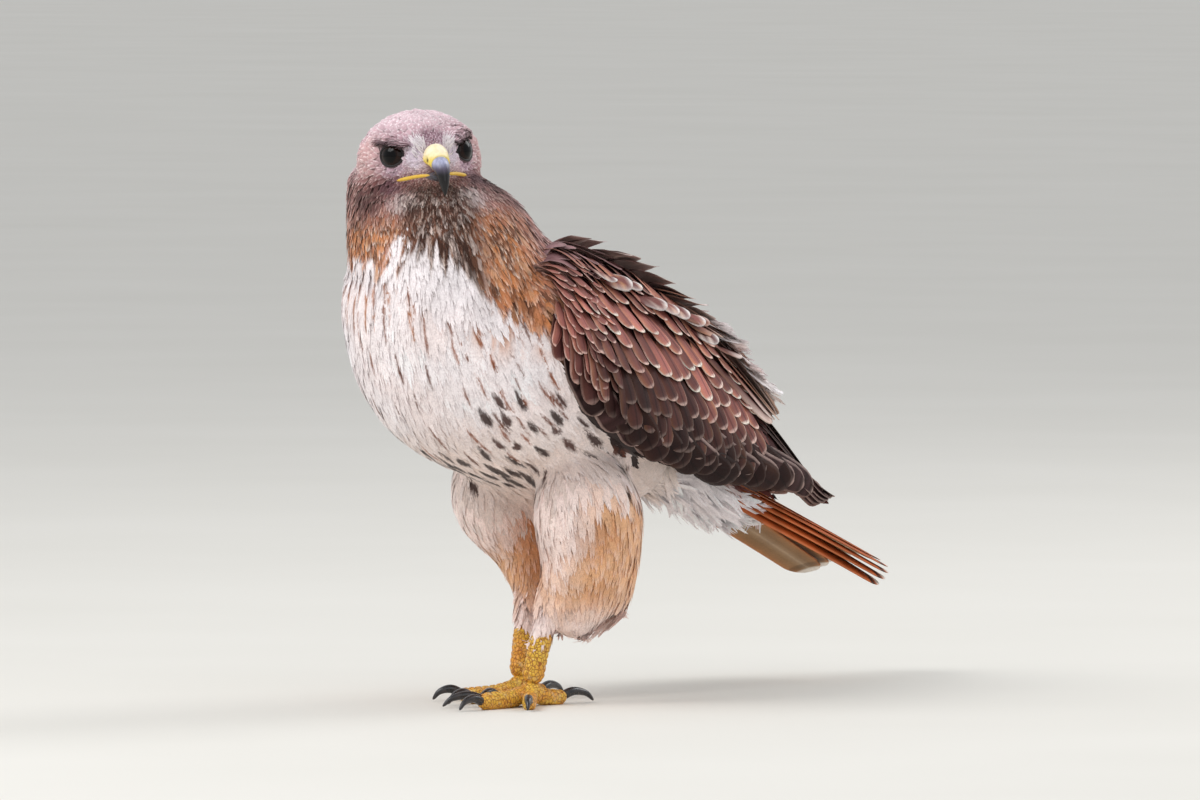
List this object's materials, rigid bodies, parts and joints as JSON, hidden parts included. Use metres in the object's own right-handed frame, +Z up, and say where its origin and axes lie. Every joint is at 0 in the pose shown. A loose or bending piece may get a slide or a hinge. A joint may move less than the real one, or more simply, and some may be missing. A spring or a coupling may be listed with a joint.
{
  "type": "red tailed hawk",
  "caption": "Standing red tailed hawk at life size, head turned to its left, wings folded, tail lowered, feet flat on the floor.",
  "frame": {"origin": "on the floor, under the centre of the bounding box", "axes": "+Z up, -Y the way the body faces, +X the bird's left side"},
  "size_m": [0.1728, 0.4494, 0.3512],
  "materials": {
    "crown_feathers": "short brown feathers with pale edges",
    "neck_feathers": "brown and rufous feathers with dark streaks",
    "breast_feathers": "creamy white feathers with a band of dark streaks on the belly",
    "wing_feathers": "dark brown vanes with thin pale edges",
    "tail_feathers": "rufous vanes with a dark band near their white tips, pale beneath",
    "leg_feathers": "soft peach and buff feathers",
    "scaly_skin": "yellow scales",
    "cere_skin": "smooth waxy yellow skin",
    "horn": "smooth dark horn, blue-grey at its base",
    "eye": "wet and very dark brown"
  },
  "bodies": {
    "root": {"torso": "breast_feathers", "neck": "neck_feathers", "tail": "tail_feathers", "head": "crown_feathers", "cere": "cere_skin", "bill_upper": "horn", "bill_lower": "horn", "eye_left": "eye", "eye_right": "eye", "wing_left": "wing_feathers", "wing_right": "wing_feathers", "thigh_left": "leg_feathers", "thigh_right": "leg_feathers", "tarsus_left": "scaly_skin", "tarsus_right": "scaly_skin", "foot_left": "scaly_skin", "foot_right": "scaly_skin", "claw_left_hallux": "horn", "claw_left_inner": "horn", "claw_left_middle": "horn", "claw_left_outer": "horn", "claw_right_hallux": "horn", "claw_right_inner": "horn", "claw_right_middle": "horn", "claw_right_outer": "horn"}
  },
  "joints": []
}
